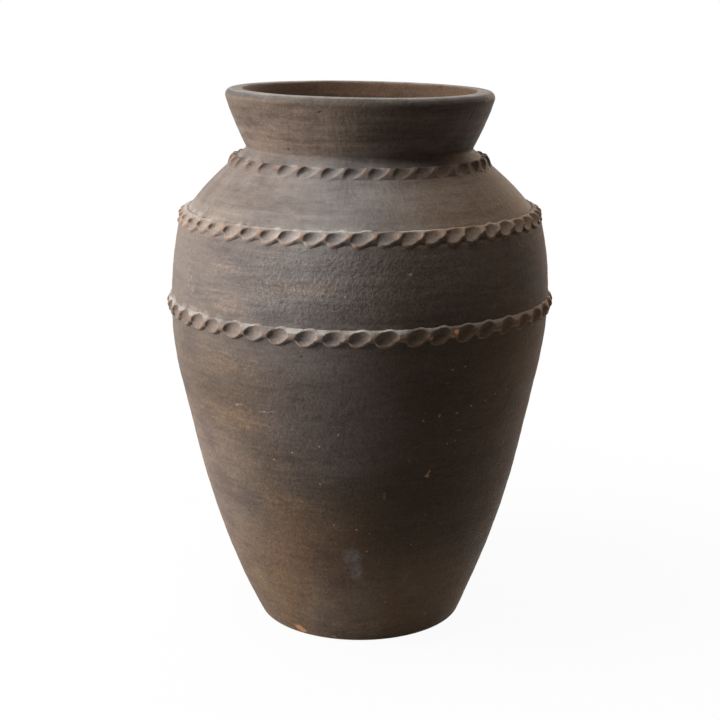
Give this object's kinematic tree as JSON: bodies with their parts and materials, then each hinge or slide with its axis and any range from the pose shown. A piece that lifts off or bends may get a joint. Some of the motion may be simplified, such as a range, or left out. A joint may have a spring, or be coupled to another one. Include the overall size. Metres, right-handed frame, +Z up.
{
  "type": "greek pithos",
  "caption": "Tall terracotta storage jar with a broad shoulder, a narrow neck, a flared rim and finger-pressed clay ropes laid round neck, shoulder and belly.",
  "frame": {"origin": "centre of the foot's flat underside, on the jar's axis", "axes": "+Z up along the jar's axis to the mouth, +X to the right and -Y towards the viewer of the picture"},
  "size_m": [0.4326, 0.4326, 0.6],
  "materials": {
    "smoked_terracotta": "smoked brown-black fired clay, burnished round the jar, matt to satin",
    "rope_terracotta": "the same smoked clay, worn to orange-brown along the ridges"
  },
  "bodies": {
    "root": {"base_pan": "smoked_terracotta", "foot_course": "smoked_terracotta", "lower_course": "smoked_terracotta", "middle_course": "smoked_terracotta", "belly_course": "smoked_terracotta", "shoulder_course": "smoked_terracotta", "neck_collar": "smoked_terracotta", "rim_lip": "smoked_terracotta", "neck_rope": "rope_terracotta", "shoulder_rope": "rope_terracotta", "belly_rope": "rope_terracotta"}
  },
  "joints": []
}
